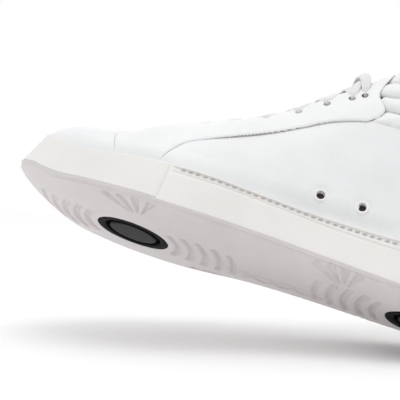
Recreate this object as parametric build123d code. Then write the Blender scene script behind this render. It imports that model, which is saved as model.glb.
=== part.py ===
from build123d import *
import math
import os

# Court high top, right shoe, in millimetres. X runs from the toe (-) to the heel (+),
# Y from the medial side (-) to the lateral side (+), Z up from the ground.

# ---- driving dimensions -------------------------------------------------------------
SHOE_LENGTH = 300.0
HALF_LENGTH = SHOE_LENGTH / 2
COLLAR_TOP = 149.0

# plan outline of the outsole: x, medial y, lateral y, between the two tips
TOE_TIP_Y = -6.0
HEEL_TIP_Y = 2.0
OUTLINE = [
    (-146, -20, 8), (-132, -34.5, 27), (-110, -44, 41), (-85, -51, 50),
    (-55, -54.3, 54), (-25, -50.5, 54.3), (5, -42.8, 51.8), (35, -36.8, 48.8),
    (65, -35.6, 46), (95, -36.8, 43.3), (120, -33.5, 38), (138, -23.5, 27.5),
    (147, -10, 14),
]

# outsole wall
WALL_LEAN = 5.2          # inward lean of the side wall from the ground to the lip
TOE_LEAN = 13.0          # how far the toe wall leans back
HEEL_LEAN = 5.0
LEAN_HEIGHT = 36.0
LIP_TOP = [(-156, 45), (-141, 37), (-126, 29.5), (-104, 25), (-79, 26.7), (-55, 28.9),
           (-30, 31.4), (0, 33), (50, 34.8), (95, 36), (156, 38.5)]
SEAM_X = -48.0           # where the toe bumper ends
BUMPER_BASE = 3.0        # thickness of outsole under the toe bumper
BUMPER_CORE = ((-120, 0), (-30, 32))   # the bumper lies outside this x and y range

# underside
TOE_SPRING = 15.0
TOE_SPRING_X = -105.0
HEEL_SPRING = 6.0
HEEL_SPRING_X = 115.0
CROWN_POWER = 2.57
GROUND_FLAT = 0.35       # the crown is planed off by this much, so the shoe stands flat
TREAD_DEPTH = 1.3

# pivot pods
POD_X = (-68.0, 112.0)
POD_Y = (8.0, 2.0)
POD_RADII = ((23.0, 19.5), (20.0, 17.5))
POD_DEPTH = 4.5
POD_GROOVE = 2.2
POD_RING = 4.2
FIT = 0.15

# upper: one station per loop, from the toe to the ankle
# top x, top z, bottom x, bottom z, medial half width, lateral half width,
# upper exponent, lower exponent, share of the loop's height at its widest point
STATIONS = [
    (-133, 35, -133, 25, 17, 12, 2.2, 3.0, 0.40),
    (-128, 41.5, -128, 20, 27, 20, 2.2, 3.4, 0.34),
    (-116, 47.5, -116, 17, 35, 31, 2.2, 4.0, 0.30),
    (-100, 51, -100, 14.5, 41, 39, 2.2, 4.0, 0.28),
    (-84, 54.5, -82, 14, 44.5, 43.5, 2.15, 4.0, 0.26),
    (-68, 63.5, -60, 14, 47, 46.5, 2.05, 4.0, 0.24),
    (-52, 71.5, -36, 14.5, 45.8, 47, 1.95, 4.0, 0.24),
    (-34, 80.5, -8, 16, 41.5, 46, 1.9, 4.0, 0.24),
    (-16, 90.5, 24, 18, 36, 43, 1.9, 3.8, 0.25),
    (-1, 100, 58, 20, 32, 40, 1.95, 3.6, 0.27),
    (12, 110, 92, 22.5, 31, 37.5, 2.0, 3.3, 0.30),
    (21, 118, 119, 25, 31, 35, 2.1, 3.0, 0.36),
    (29, 125.5, 135, 34, 30.5, 33, 2.2, 2.7, 0.42),
    (36, 132, 141, 51, 31, 33, 2.2, 2.4, 0.46),
    (42, 137.5, 142, 75, 32, 33.5, 2.2, 2.3, 0.48),
    (48, 142.5, 140.5, 100, 33, 34, 2.2, 2.2, 0.50),
    (54, 147.5, 140.5, 125, 34, 34.5, 2.2, 2.2, 0.50),
    (62, 157, 142.5, 149, 35, 35.5, 2.2, 2.2, 0.50),
    (70, 168, 146, 172, 37, 37.5, 2.2, 2.2, 0.50),
]
LOOP_POINTS = 20
BOTTOM_SHARE = 0.35

LEATHER = 1.6
OVERLAY = 1.0            # how far the overlays stand proud of the quarters
GAP = 0.3
LINING = 0.9
PUFF_DEPTH = 2.9
LINING_DEPTH = 3.6       # depth of the quarter lining below the leather's face
COLLAR_LINING_DEPTH = 6.8
TONGUE_DEPTH = 2.7
TONGUE_LAYERS = (1.4, 2.8, 1.0)

# side-view seams of the upper, as x, z
VAMP_SEAM = [(-82, 5), (-83, 26), (-86, 35), (-89, 43), (-93, 54), (-97, 75)]
QUARTER_SEAM = [(-62, 5), (-62, 24), (-60, 36), (-55, 46), (-46, 53), (-31, 61), (-10, 71.5),
                (11, 82.5), (22, 89.5), (33, 95.5), (46, 98.5)]
STAY_REAR = [(46, 98.5), (52, 104), (53, 110), (47, 120), (49, 128), (52, 137), (58, 152),
             (70, 178)]
COLLAR_BASE = 100.0
RIB_LEVELS = [100.0, 111.0, 121.5, 133.0, 149.0]
RIB_GAP = 0.5
HEEL_PATCH_X = 122.0
HEEL_PATCH_BASE = 40.5
HEEL_PATCH_TOP = 96.0

# inner pieces, by where they start and end
COUNTER_START = 78.0      # the heel counter runs back from here
COUNTER_TOP = 82.0
PUFF_END = -101.0         # the toe puff runs forward from here
VAMP_LINING_X = (-97.0, -21.0)
LINING_SPLIT = -20.0      # the quarter linings and the collar pads run back from here
COLLAR_FOAM_BASE = 90.5

# working boxes that reach past the shoe
ACROSS = (-80, 80)
LOW_HALF = (0, 90)

THROAT = [(-80, 4), (-76, 8), (-64, 11), (-30, 13), (20, 15), (56, 17), (90, 19)]
TONGUE_START = -85.0
TONGUE_FIRST = 4         # the station where the tongue is sewn in
TONGUE_HALF = (14.0, 21.0)

# laces and eyelets
LACE_X = (-62.0, -45.0, -28.5, -11.0, 6.5, 21.0, 34.0, 41.0)
LACE_RADIUS = 1.7
LACE_GAP = 0.5
EYELET_RADIUS = 2.3
EYELET_SET = 7.0         # distance of the lace holes from the throat edge

# vents
VENTS = [(36.5, 45.0), (61.2, 46.0)]
VENT_HOLE = 2.5
VENT_BARREL = 3.1
VENT_FLANGE = 4.4
VENT_FLANGE_THICK = 0.9

# inside the sole
FOAM_FLOOR = 6.5
FOAM_INSET = 10.0
BOARD_DEPTH = 0.2
BOARD_TOP = 3.2          # heights above the upper's bottom line
FOOTBED = (4.3, 7.8)
SHANK = (-1.9, -0.5)
SHANK_X = (-25.0, 75.0)
SHANK_Y = (-10.0, 16.0)
FOOTBED_TOE = -118.0
FOOTBED_INSET = 19.0
FOOTBED_HEEL = 10.0


# ---- helpers ------------------------------------------------------------------------
def interpolate(table, x, column=1):
    """Straight-line reading of a table at x."""
    for low, high in zip(table, table[1:]):
        if x <= high[0]:
            share = max(0.0, (x - low[0]) / (high[0] - low[0]))
            return low[column] + share * (high[column] - low[column])
    return table[-1][column]


def outline_points():
    """The closed plan outline, toe tip first, round the lateral side to the heel and back."""
    lateral = [(x, y) for x, _, y in OUTLINE]
    medial = [(x, y) for x, y, _ in reversed(OUTLINE)]
    return [(-HALF_LENGTH, TOE_TIP_Y)] + lateral + [(HALF_LENGTH, HEEL_TIP_Y)] + medial


def inset_points(inset, toe=0.0, heel=0.0):
    """The outline moved inwards by inset, and by toe or heel more at its two ends."""
    points = outline_points()
    moved = []
    for i, (x, y) in enumerate(points):
        before = points[i - 1]
        after = points[(i + 1) % len(points)]
        run = Vector(after[0] - before[0], after[1] - before[1], 0).normalized()
        end_share = (abs(x) / HALF_LENGTH) ** 3
        extra = (toe if x < 0 else heel) * end_share * abs(run.Y)
        moved.append((x + run.Y * (inset + extra), y - run.X * (inset + extra)))
    return moved


def closed_curve(points):
    """A smooth closed curve through points, evenly parametrised so that lofts stay light."""
    steps = list(range(len(points) + 1))
    return Wire([Edge.make_spline(points, periodic=True, parameters=steps)])


def outline_wire(inset, z, toe=0.0, heel=0.0):
    return closed_curve([Vector(x, y, z) for x, y in inset_points(inset, toe, heel)])


def plan_prism(inset, low, high):
    return Solid.extrude(Face(outline_wire(inset, low)), Vector(0, 0, high - low))


def side_prism(points, y_low=-90.0, y_high=90.0):
    """A closed side-view polygon, extruded across the shoe."""
    wire = Wire.make_polygon([Vector(x, y_low, z) for x, z in points], close=True)
    return Solid.extrude(Face(wire), Vector(0, y_high - y_low, 0))


def curve_prism(curve, closing, y_low=-90.0, y_high=90.0):
    """A side-view region bounded by smooth curves and closed by straight lines."""
    edges = []
    for points in curve:
        edges.append(Edge.make_spline([Vector(x, y_low, z) for x, z in points]))
    corners = [Vector(x, y_low, z) for x, z in closing]
    chain = [edges[-1] @ 1] + corners + [edges[0] @ 0]
    for start, end in zip(chain, chain[1:]):
        edges.append(Edge.make_line(start, end))
    return Solid.extrude(Face(Wire(edges)), Vector(0, y_high - y_low, 0))


def plan_strip(table, grow, x_start, x_end, z_low=30.0, z_high=200.0):
    """A strip along the shoe's middle, with the half widths of a table."""
    rows = [(x, half + grow) for x, half in table if x_start < x < x_end]
    rows = [(x_start, interpolate(table, x_start) + grow)] + rows
    rows.append((x_end, interpolate(table, x_end) + grow))
    ring = rows + [(x, -half) for x, half in reversed(rows)]
    wire = Wire.make_polygon([Vector(x, y, z_low) for x, y in ring], close=True)
    return Solid.extrude(Face(wire), Vector(0, 0, z_high - z_low))


def spring(x):
    """Height of the outsole's middle line above the ground."""
    toe = max(0.0, (TOE_SPRING_X - x) / (TOE_SPRING_X + HALF_LENGTH))
    heel = max(0.0, (x - HEEL_SPRING_X) / (HALF_LENGTH - HEEL_SPRING_X))
    return TOE_SPRING * toe ** 2 + HEEL_SPRING * heel ** 2


def crown(x):
    """How far the outsole's edges stand above its middle line."""
    return interpolate([(-150, 3.7), (-50, 3.7), (30, 9.2), (110, 6.6), (150, 6.6)], x)


def underside_block(rise=0.0):
    """Everything above the crowned underside, moved up by rise."""
    rows = [(-150, -20, 12)] + OUTLINE + [(150, -18, 20)]
    wires = []
    for x in (-160, -140, -122, -105, -80, -50, -20, 10, 40, 75, 110, 130, 145, 160):
        medial = interpolate(rows, x, 1)
        lateral = interpolate(rows, x, 2)
        middle = (medial + lateral) / 2
        half = max(32.0, (lateral - medial) / 2)
        bottom = []
        for share in (-1.3, -1.0, -0.65, -0.3, 0.0, 0.3, 0.65, 1.0, 1.3):
            z = spring(x) + crown(x) * abs(share) ** CROWN_POWER - GROUND_FLAT + rise
            bottom.append(Vector(x, middle + share * half, z))
        top_right = Vector(x, bottom[-1].Y, 90)
        top_left = Vector(x, bottom[0].Y, 90)
        wires.append(Wire([
            Edge.make_spline(bottom, parameters=list(range(len(bottom)))),
            Edge.make_line(bottom[-1], top_right),
            Edge.make_line(top_right, top_left),
            Edge.make_line(top_left, bottom[0]),
        ]))
    return Solid.make_loft(wires)


def below_lip(drop=0.0):
    """Everything below the lip's top line, lowered by drop."""
    line = [(x, z - drop) for x, z in LIP_TOP]
    return curve_prism([line], [(156, -20), (-156, -20)])


def loop_grid():
    """Points of every station's loop, as vectors."""
    grid = []
    for top_x, top_z, low_x, low_z, medial, lateral, upper, lower, widest in STATIONS:
        top = Vector(top_x, 0, top_z)
        base = Vector(low_x, 0, low_z)
        height = (top - base).length
        rise = (top - base).normalized()
        loop = []
        for k in range(LOOP_POINTS):
            angle = 2 * math.pi * k / LOOP_POINTS
            across = math.sin(angle)
            along = math.cos(angle)
            power = 2 / (upper if along >= 0 else lower)
            reach = lateral if across >= 0 else medial
            y = math.copysign(reach * abs(across) ** power, across)
            span = height * (1 - widest) if along >= 0 else height * widest
            s = height * widest + math.copysign(span * abs(along) ** power, along)
            loop.append(base + rise * s + Vector(0, y, 0))
        grid.append(loop)
    return grid


GRID = loop_grid()


def grid_normal(i, k):
    """Outward normal of the upper's surface at a loop point."""
    last = len(GRID) - 1
    before = GRID[max(0, i - 1)][k]
    after = GRID[min(last, i + 1)][k]
    left = GRID[i][k - 1]
    right = GRID[i][(k + 1) % LOOP_POINTS]
    normal = (right - left).cross(after - before).normalized()
    if i in (0, last):
        top, base = GRID[i][0], GRID[i][LOOP_POINTS // 2]
        plane_normal = (top - base).cross(Vector(0, 1, 0)).normalized()
        normal = (normal - plane_normal * normal.dot(plane_normal)).normalized()
    centre = sum(GRID[i], Vector(0, 0, 0)) / LOOP_POINTS
    if normal.dot(GRID[i][k] - centre) < 0:
        normal = normal * -1
    return normal


def first_station(depth):
    """Deep layers start further back, where the toe is tall enough to hold them."""
    return 0 if depth < 3.0 else 3


def depth_share(i, k):
    """Layers thin out round the bottom corners of the sole's part, which are tight."""
    steps_down = min(abs(k - LOOP_POINTS / 4), abs(k - 3 * LOOP_POINTS / 4))
    at_bottom = LOOP_POINTS / 4 < k < 3 * LOOP_POINTS / 4
    if not at_bottom or i >= 12:
        return 1.0
    return 0.7 if steps_down < 2 else BOTTOM_SHARE


def upper_solid(depth):
    """The whole foot shape of the upper, moved inwards by depth."""
    wires = []
    for i in range(first_station(depth), len(GRID)):
        points = []
        for k, p in enumerate(GRID[i]):
            points.append(p - grid_normal(i, k) * depth * depth_share(i, k))
        wires.append(closed_curve(points))
    return Solid.make_loft(wires)


SOLIDS = {}


def upper(depth):
    key = round(depth, 3)
    if key not in SOLIDS:
        SOLIDS[key] = upper_solid(depth)
    return SOLIDS[key]


def save(name, shape):
    shape.label = name
    export_step(shape, f"parts/{name}.step")
    print(name, round(shape.volume), len(shape.solids()))


def box(x, y, z):
    """A plain block between pairs of limits."""
    corner = Plane(origin=(x[0], y[0], z[0]))
    return Solid.make_box(x[1] - x[0], y[1] - y[0], z[1] - z[0], plane=corner)


MEDIAL = box((-200, 200), (-100, 0), (-20, 250))
LATERAL = box((-200, 200), (0, 100), (-20, 250))


def floor_line(rise):
    """The upper's bottom line, moved up by rise, from before the toe to behind the heel."""
    line = [(row[2], row[3] + rise) for row in STATIONS[:13]]
    start = (-160, line[0][1] + 6)
    end = (160, line[-1][1] + 2)
    return [start] + line + [end]


def below_floor(rise):
    return side_prism(floor_line(rise) + [(160, -30), (-160, -30)])


def floor_layer(limits):
    """A band that follows the upper's bottom line."""
    upper_edge = floor_line(limits[1])
    lower_edge = floor_line(limits[0])
    return side_prism(upper_edge + list(reversed(lower_edge)))


def wall_solid(inset=0.0):
    """The outsole's outer form, before its underside and lip are cut."""
    wires = []
    for z in (-8, 6, 20, 34, 50):
        share = max(0.0, (z - 4) / (LEAN_HEIGHT - 4))
        lean = WALL_LEAN * share
        toe = TOE_LEAN * share - lean
        heel = HEEL_LEAN * share - lean
        wires.append(outline_wire(inset + lean, z, toe, heel))
    return Solid.make_loft(wires)


def hit(solid, origin, direction):
    """The first point where a ray meets a solid's skin, with the outward normal there."""
    found = solid.find_intersection_points(Axis(origin, direction))
    ahead = sorted(found, key=lambda pair: (pair[0] - Vector(*origin)).dot(Vector(*direction)))
    point, normal = ahead[0]
    if normal.dot(Vector(*direction)) > 0:
        normal = normal * -1
    return point, normal


# ---- sole unit ----------------------------------------------------------------------
def arc_bar(middle, radius, width, half_angle, facing):
    """A curved tread groove, as a tall prism. Facing is the angle of its middle in degrees."""
    inner = radius - width / 2
    outer = radius + width / 2
    angles = [math.radians(facing + step) for step in (-half_angle, 0, half_angle)]

    def rim(reach):
        return [Vector(middle[0] + reach * math.cos(a), middle[1] + reach * math.sin(a), -10)
                for a in angles]

    out_points = rim(outer)
    in_points = rim(inner)
    wire = Wire([
        Edge.make_three_point_arc(*out_points),
        Edge.make_line(out_points[2], in_points[2]),
        Edge.make_three_point_arc(*reversed(in_points)),
        Edge.make_line(in_points[0], out_points[0]),
    ])
    return Solid.extrude(Face(wire), Vector(0, 0, 40))


def leaf(start, end, width):
    """A pointed oval tread groove between two plan points, as a tall prism."""
    a = Vector(start[0], start[1], -10)
    b = Vector(end[0], end[1], -10)
    side = (b - a).normalized().cross(Vector(0, 0, 1)) * (width / 2)
    middle = (a + b) / 2
    wire = Wire([
        Edge.make_three_point_arc(a, middle + side, b),
        Edge.make_three_point_arc(b, middle - side, a),
    ])
    return Solid.extrude(Face(wire), Vector(0, 0, 40))


def tread_prisms():
    """The tread: curved bars before and behind each pod, and fans of leaves at the edges."""
    prisms = []
    fore = (POD_X[0], POD_Y[0])
    rear = (POD_X[1], POD_Y[1])
    for step in range(5):
        prisms.append(arc_bar(fore, 30 + 7.4 * step, 3.2, 34 - 4.2 * step, 180))
        prisms.append(arc_bar(fore, 30 + 9.0 * step, 3.4, 34 - 4.8 * step, 0))
        prisms.append(arc_bar(rear, 28 + 8.8 * step, 3.4, 33 - 4.6 * step, 180))
    fans = [
        ((-60, -24), [(-80, -45), (-70, -47.5), (-60, -49), (-50, -48)]),
        ((-24, 34), [(-34, 50), (-25, 51), (-16, 50.5), (-8, 49)]),
        ((66, -14), [(46, -30), (55, -31.5), (64, -32), (73, -32)]),
        ((78, 24), [(66, 42), (75, 41.5), (84, 40.5), (92, 39)]),
    ]
    for root, tips in fans:
        for tip in tips:
            near = (root[0] + (tip[0] - root[0]) * 0.25, root[1] + (tip[1] - root[1]) * 0.25)
            prisms.append(leaf(near, tip, 3.6))
    return prisms


def pod(index):
    """One pivot pod: a dished ring and the disc that stands in it."""
    middle = (POD_X[index], POD_Y[index])
    long_radius, short_radius = POD_RADII[index]

    def oval(shrink, low, high):
        edge = Edge.make_ellipse(long_radius - shrink, short_radius - shrink,
                                 Plane(origin=(middle[0], middle[1], low)))
        return Solid.extrude(Face(Wire([edge])), Vector(0, 0, high - low))

    dish = POD_DEPTH - 1.5
    ring = oval(0, 0, POD_DEPTH) - oval(POD_RING, -1, dish)
    disc = oval(POD_RING + POD_GROOVE, 0, dish)
    rim = disc.edges().sort_by(Axis.Z)[0]
    disc = disc.fillet(0.9, [rim])
    pocket = oval(-FIT, -20, POD_DEPTH + FIT)
    return ring, disc, pocket


def pocket_block():
    """The hollow in the outsole for the midsole foam, open into the upper above it."""
    return plan_prism(FOAM_INSET, -5, 60) & underside_block(FOAM_FLOOR) & below_floor(4.0)


def sole_unit():
    """The cup-shaped outsole and the toe bumper that wraps its front."""
    form = wall_solid() & below_lip() & underside_block()
    front = box((-170, SEAM_X), ACROSS, LOW_HALF)
    bumper_zone = (underside_block(BUMPER_BASE) & front) - box(*BUMPER_CORE, (-5, 95))
    cavity = upper(-GAP)
    bumper = (form & bumper_zone) - pocket_block() - cavity
    raised = underside_block(TREAD_DEPTH)
    grooves = [prism - raised for prism in tread_prisms()]
    pockets = [pod(index)[2] for index in range(2)]
    cup = form & box((-170, 170), ACROSS, LOW_HALF)
    cup = cup - bumper_zone - pocket_block() - cavity - pockets - grooves
    return cup, bumper


def shank_plate():
    plan = box(SHANK_X, SHANK_Y, (0, 60))
    return plan & floor_layer(SHANK)


def midsole_foam(shank):
    return pocket_block() - upper(-GAP) - shank


def insole_board():
    return upper(BOARD_DEPTH) & below_floor(BOARD_TOP)


def footbed():
    """The removable insole, with a many-sided plan."""
    corners = [Vector(x, y, 0) for x, y in inset_points(FOOTBED_INSET, heel=FOOTBED_HEEL)]
    plan = Face(Wire.make_polygon(corners, close=True))
    slab = Solid.extrude(plan, Vector(0, 0, 80)) & floor_layer(FOOTBED)
    return slab & box((FOOTBED_TOE, 160), ACROSS, LOW_HALF)


# ---- upper --------------------------------------------------------------------------
def layer(outer, inner, zones, cuts=()):
    """The part of the upper between two depths that lies in every zone and in no cut."""
    shape = upper(outer)
    for zone in zones:
        shape = shape & zone
    for cut in cuts:
        shape = shape - cut
    return shape - upper(inner)


def ahead_of_vamp_seam():
    return curve_prism([VAMP_SEAM], [(-170, 75), (-170, 5)])


def stay_prism():
    """Side view of the overlay with the eyestay: from the quarter seam to the vamp seam."""
    rear = curve_prism([QUARTER_SEAM, STAY_REAR], [(70, 190), (-140, 190), (-140, 5)])
    return rear - ahead_of_vamp_seam() - below_lip(-GAP)


def vamp(trim):
    return layer(0.0, LEATHER, [ahead_of_vamp_seam()], [trim])


def eyestay(stay, side):
    below_collar = box((-170, 170), ACROSS, (0, COLLAR_TOP))
    throat = plan_strip(THROAT, 0.0, -80, 85)
    return layer(-OVERLAY, LEATHER, [stay, side, below_collar], [throat])


def heel_zone():
    return box((HEEL_PATCH_X, 170), ACROSS, (HEEL_PATCH_BASE, HEEL_PATCH_TOP))


def quarter(trim, stay, side):
    zone = box((-100, 170), ACROSS, (0, COLLAR_BASE))
    return layer(0.0, LEATHER, [side, zone], [stay, ahead_of_vamp_seam(), trim, heel_zone()])


def collar_rib(low, high, stay):
    band = box((20, 170), ACROSS, (low, high - RIB_GAP))
    return layer(-OVERLAY, LEATHER, [band], [stay])


def heel_patch():
    return layer(-OVERLAY, LEATHER, [heel_zone()])


def tongue_zone(grow):
    table = [(TONGUE_START, TONGUE_HALF[0]), (60, TONGUE_HALF[1]), (90, TONGUE_HALF[1])]
    return plan_strip(table, grow, TONGUE_START - grow, 90)


def tongue_section(i, outer, inner, half):
    """A closed strip across the top of one station's loop, between two depths."""
    top_x, top_z, low_x, low_z, medial, lateral, power, _, widest = STATIONS[i]
    base = Vector(low_x, 0, low_z)
    rise = Vector(top_x - low_x, 0, top_z - low_z)
    height = rise.length
    rise = rise.normalized()
    span = height * (1 - widest)

    def rim(depth):
        points = []
        for share in (-1, -0.6, -0.2, 0.2, 0.6, 1):
            y = share * half
            reach = lateral if y > 0 else medial
            ratio = abs(y) / reach
            left = 1 - ratio ** power
            along = span * left ** (1 / power)
            steep = span / reach * ratio ** (power - 1) * left ** (1 / power - 1)
            normal = Vector(0, math.copysign(steep, y), 0) + rise
            place = base + rise * (height * widest + along) + Vector(0, y, 0)
            points.append(place - normal.normalized() * depth)
        return points

    outer_rim = rim(outer)
    inner_rim = list(reversed(rim(inner)))
    return Wire([
        Edge.make_spline(outer_rim, parameters=list(range(6))),
        Edge.make_line(outer_rim[-1], inner_rim[0]),
        Edge.make_spline(inner_rim, parameters=list(range(6))),
        Edge.make_line(inner_rim[-1], outer_rim[0]),
    ])


def tongue_layer(start, thickness):
    wires = []
    for i in range(TONGUE_FIRST, len(STATIONS)):
        share = (i - TONGUE_FIRST) / (len(STATIONS) - 1 - TONGUE_FIRST)
        half = TONGUE_HALF[0] + share * (TONGUE_HALF[1] - TONGUE_HALF[0])
        wires.append(tongue_section(i, start, start + thickness, half))
    return Solid.make_loft(wires)


# ---- vents and laces ----------------------------------------------------------------
def vent_places():
    """Point and outward direction of every vent, medial pair first."""
    places = []
    for side in (-1, 1):
        for x, z in VENTS:
            places.append(hit(upper(0.0), (x, side * 200, z), (0, -side, 0)))
    return places


def cylinder_at(point, normal, radius, low, high):
    """A cylinder along a normal, between two heights above the surface point."""
    plane = Plane(origin=point + normal * low, z_dir=normal)
    return Solid.make_cylinder(radius, high - low, plane)


def grommet(point, normal):
    flange = cylinder_at(point, normal, VENT_FLANGE, 0.05, VENT_FLANGE_THICK + 0.05)
    rim = flange.edges().sort_by(lambda e: (e.center() - point).dot(normal))[-1]
    flange = flange.fillet(0.6, [rim])
    barrel = cylinder_at(point, normal, VENT_BARREL, -LEATHER - 1.0, 0.4)
    return (flange + barrel) - cylinder_at(point, normal, VENT_HOLE, -5, 5)


def washer(point, normal):
    ring = cylinder_at(point, normal, VENT_FLANGE, -LEATHER - 0.9, -LEATHER - 0.3)
    return ring - cylinder_at(point, normal, VENT_BARREL, -6, 5)


def eyelet_y(x):
    return interpolate(THROAT, x) + EYELET_SET


def above(x, y, depth):
    """A point on the upper at a depth, straight below (x, y)."""
    return hit(upper(depth), (x, y, 300), (0, 0, -1))


def eyelet_holes(side):
    holes = []
    for x in LACE_X:
        point, normal = above(x, side * eyelet_y(x), 0.0)
        holes.append(cylinder_at(point, normal, EYELET_RADIUS, -LEATHER - 1, OVERLAY + 2))
    return holes


def lace_bar(x):
    """One crossing of the lace, from eyelet to eyelet over the throat."""
    reach = eyelet_y(x)
    height = OVERLAY + LACE_RADIUS + LACE_GAP
    points = []
    for share in (-1, -0.7, -0.35, 0, 0.35, 0.7, 1):
        point, normal = above(x, share * reach, 0.0)
        points.append(point + normal * height)
    path = Edge.make_spline(points)
    section = Wire([Edge.make_circle(LACE_RADIUS, Plane(origin=path @ 0, z_dir=path % 0))])
    return Solid.sweep(Face(section), Wire([path]))


def main():
    os.makedirs("parts", exist_ok=True)
    trim = below_floor(BOARD_TOP + 0.2)
    stay = stay_prism()

    cup, bumper = sole_unit()
    save("outsole_cup", cup)
    save("toe_bumper", bumper)
    for index, name in enumerate(("forefoot", "heel")):
        ring, disc, _ = pod(index)
        save(f"{name}_pod_ring", ring)
        save(f"{name}_pod_disc", disc)
    shank = shank_plate()
    save("shank_plate", shank)
    save("midsole_foam", midsole_foam(shank))
    save("insole_board", insole_board())
    save("footbed", footbed())

    save("vamp", vamp(trim))
    places = vent_places()
    for name, side, sign in (("medial", MEDIAL, -1), ("lateral", LATERAL, 1)):
        save(f"{name}_eyestay", eyestay(stay, side) - eyelet_holes(sign))
        holes = [cylinder_at(*place, VENT_BARREL + 0.1, -4, 4) for place in places]
        save(f"{name}_quarter", quarter(trim, stay, side) - holes)
    for number, (low, high) in enumerate(zip(RIB_LEVELS, RIB_LEVELS[1:]), start=1):
        save(f"collar_rib_{number}", collar_rib(low, high, stay))
    save("heel_patch", heel_patch())

    keep_out = tongue_zone(1.5)
    stiffener = (LEATHER + GAP, LINING_DEPTH - GAP)
    rear = box((COUNTER_START, 170), ACROSS, (0, COUNTER_TOP))
    save("heel_counter", layer(*stiffener, [rear], [trim]))
    toe = box((-170, PUFF_END), ACROSS, LOW_HALF)
    save("toe_puff", layer(LEATHER + GAP, PUFF_DEPTH, [toe], [trim]))
    lining = (LINING_DEPTH, LINING_DEPTH + LINING)
    front = box(VAMP_LINING_X, ACROSS, (0, 120))
    save("vamp_lining", layer(*lining, [front], [keep_out, trim]))
    low_zone = box((LINING_SPLIT, 170), ACROSS, LOW_HALF)
    vents = [cylinder_at(*place, VENT_HOLE, -9, 1) for place in places]
    save("quarter_lining", layer(*lining, [low_zone], [keep_out, trim]) - vents)
    foam_zone = box((LINING_SPLIT, 170), ACROSS, (COLLAR_FOAM_BASE, COLLAR_TOP - 2))
    foam = (LEATHER + GAP, COLLAR_LINING_DEPTH - GAP)
    save("collar_foam", layer(*foam, [foam_zone], [keep_out]))
    collar_zone = box((LINING_SPLIT, 170), ACROSS, (COLLAR_FOAM_BASE, COLLAR_TOP - 1))
    collar = (COLLAR_LINING_DEPTH, COLLAR_LINING_DEPTH + LINING)
    save("collar_lining", layer(*collar, [collar_zone], [keep_out]))

    start = TONGUE_DEPTH
    for name, thickness in zip(("shell", "foam", "lining"), TONGUE_LAYERS):
        save(f"tongue_{name}", tongue_layer(start, thickness))
        start += thickness + 0.2

    save("vent_grommets", Compound([grommet(*place) for place in places]))
    save("vent_washers", Compound([washer(*place) for place in places]))
    save("lace", Compound([lace_bar(x) for x in LACE_X]))


main()
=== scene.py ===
import bmesh
import bpy
import math
import numpy as np
from mathutils import Matrix, Vector


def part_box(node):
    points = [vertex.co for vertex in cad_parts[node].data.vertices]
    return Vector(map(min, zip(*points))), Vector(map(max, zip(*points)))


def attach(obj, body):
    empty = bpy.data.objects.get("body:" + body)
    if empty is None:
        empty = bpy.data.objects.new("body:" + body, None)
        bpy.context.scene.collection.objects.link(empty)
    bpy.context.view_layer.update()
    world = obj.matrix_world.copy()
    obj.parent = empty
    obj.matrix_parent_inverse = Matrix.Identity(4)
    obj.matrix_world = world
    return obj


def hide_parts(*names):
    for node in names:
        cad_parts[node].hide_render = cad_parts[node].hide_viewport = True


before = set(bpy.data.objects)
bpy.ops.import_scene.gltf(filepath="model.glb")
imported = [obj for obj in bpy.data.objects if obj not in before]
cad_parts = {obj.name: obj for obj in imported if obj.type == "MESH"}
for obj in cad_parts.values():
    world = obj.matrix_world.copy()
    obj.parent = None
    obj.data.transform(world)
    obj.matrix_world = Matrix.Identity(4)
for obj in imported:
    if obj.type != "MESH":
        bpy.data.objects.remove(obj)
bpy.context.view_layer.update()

# Lengths below are in millimetres, in the row's frame; meshes are scaled to metres when made.
MM = 0.001
HALF_LENGTH = 150.0
COLLAR_TOP = 149.0

# plan outline of the outsole: x, medial y, lateral y, between the two tips
TOE_TIP_Y = -6.0
HEEL_TIP_Y = 2.0
OUTLINE = [
    (-146, -20, 8), (-132, -34.5, 27), (-110, -44, 41), (-85, -51, 50),
    (-55, -54.3, 54), (-25, -50.5, 54.3), (5, -42.8, 51.8), (35, -36.8, 48.8),
    (65, -35.6, 46), (95, -36.8, 43.3), (120, -33.5, 38), (138, -23.5, 27.5),
    (147, -10, 14),
]
WALL_LEAN = 5.2
TOE_LEAN = 13.0
HEEL_LEAN = 5.0
LEAN_HEIGHTS = (4.0, 36.0)
LIP_TOP = [(-156, 45), (-141, 37), (-126, 29.5), (-104, 25), (-79, 26.7), (-55, 28.9),
           (-30, 31.4), (0, 33), (50, 34.8), (95, 36), (156, 38.5)]
LIP_CREASE = [(-60, 23), (-30, 25.7), (-5, 27.6), (20, 28.4), (60, 27.6), (95, 27), (156, 29)]
SEAM_X = -48.0
LIP_INSET = 2.3
EDGE_ROUND = 1.1

TOE_SPRING = 15.0
TOE_SPRING_X = -105.0
HEEL_SPRING = 6.0
HEEL_SPRING_X = 115.0
CROWN = [(-160, 3.7), (-50, 3.7), (30, 9.2), (110, 6.6), (160, 6.6)]
CROWN_POWER = 2.57
GROUND_FLAT = 0.35
TREAD_DEPTH = 1.7
RIM_GROOVE_DEPTH = 1.2
RIM_GROOVE_INSET = 2.4

POD_X = (-68.0, 112.0)
POD_Y = (8.0, 2.0)
POD_RADII = ((23.0, 19.5), (20.0, 17.5))
POD_RING = 4.2
POD_GROOVE = 2.2
POD_FLOOR = 3.0

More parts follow.
